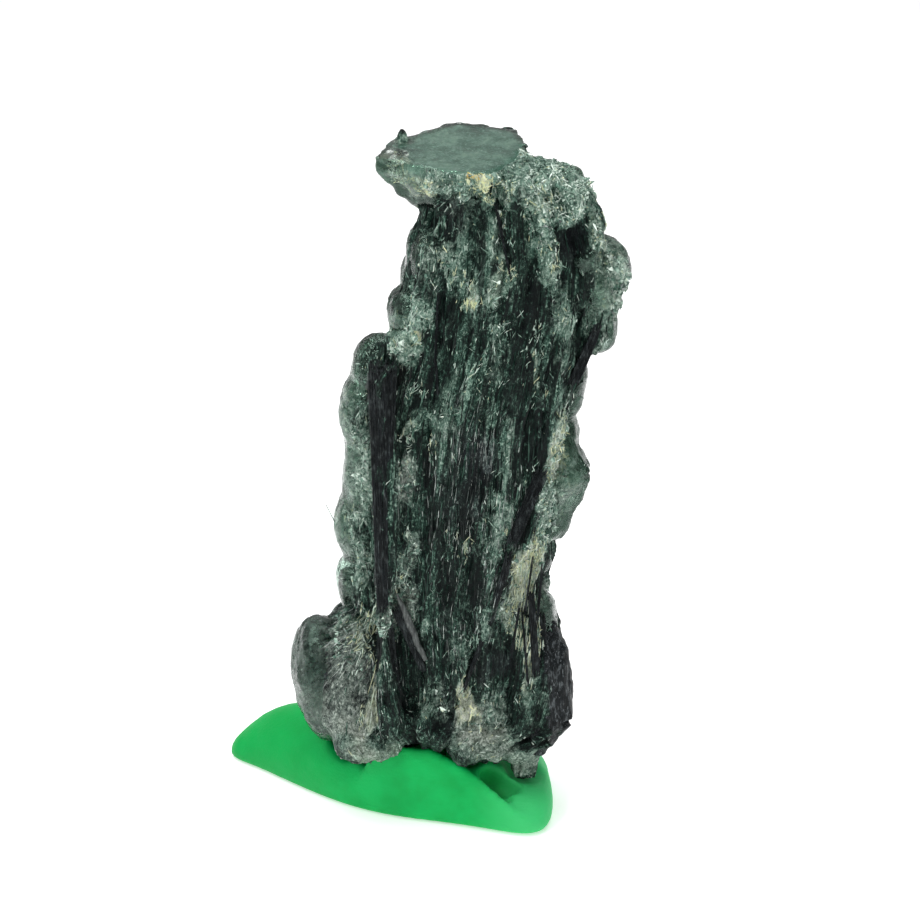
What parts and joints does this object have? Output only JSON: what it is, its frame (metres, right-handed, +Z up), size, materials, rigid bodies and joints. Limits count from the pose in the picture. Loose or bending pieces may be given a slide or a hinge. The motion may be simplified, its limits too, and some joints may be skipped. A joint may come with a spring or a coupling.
{
  "type": "apatite crystal specimen",
  "caption": "Dark green apatite specimen with black blades, rounded clear side crystals and a flat six-sided top, held upright by a lump of green display putty.",
  "frame": {"origin": "middle of the object's box, on the flat underside of the putty", "axes": "+Z up along the crystal, +X to the right as seen from the side with the long black blade, +Y away from that side"},
  "size_m": [0.0308, 0.0158, 0.0528],
  "materials": {
    "crystal": "glassy and striated, dark green, with black blades and see-through rims",
    "putty": "soft satin green"
  },
  "bodies": {
    "root": {"crystal_cluster": "crystal", "putty_base": "putty"}
  },
  "joints": []
}
